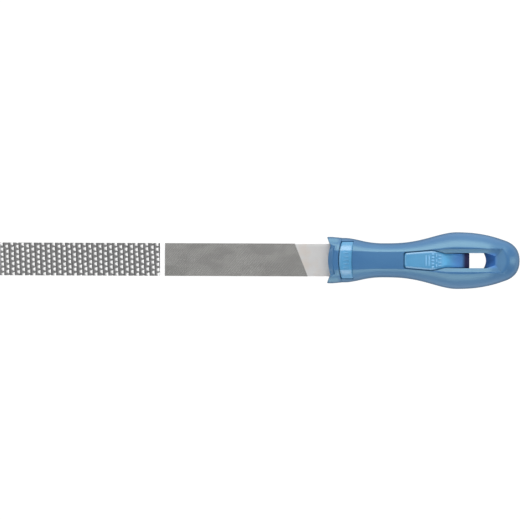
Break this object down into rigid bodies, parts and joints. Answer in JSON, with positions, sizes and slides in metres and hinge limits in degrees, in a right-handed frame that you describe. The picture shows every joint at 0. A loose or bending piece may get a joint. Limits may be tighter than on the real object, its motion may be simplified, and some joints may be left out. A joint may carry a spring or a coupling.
{
  "type": "flat hand file",
  "caption": "Blunt flat hand file with a rasp cut and a fine cut on its blade, and a two-tone moulded handle with a flared collar and a hanging hole.",
  "frame": {"origin": "middle of the whole file's box, on the tool's axis", "axes": "+X along the tool from the blade's tip to the handle's tail, +Y across the blade, +Z out of the blade's flat face"},
  "size_m": [0.3169, 0.0348, 0.0272],
  "materials": {
    "blade_steel": "cut and ground steel, satin",
    "core_plastic": "light blue moulded plastic, soft gloss",
    "grip_plastic": "dark blue soft moulded grip, satin"
  },
  "bodies": {
    "blade": {"file_blank": "blade_steel"},
    "handle": {"handle_core": "core_plastic", "handle_grip": "grip_plastic"}
  },
  "joints": [
    {"name": "handle_draw", "type": "slide", "parent": "blade", "child": "handle", "axis": [1, 0, 0], "range_m": [0, 0.065]}
  ]
}
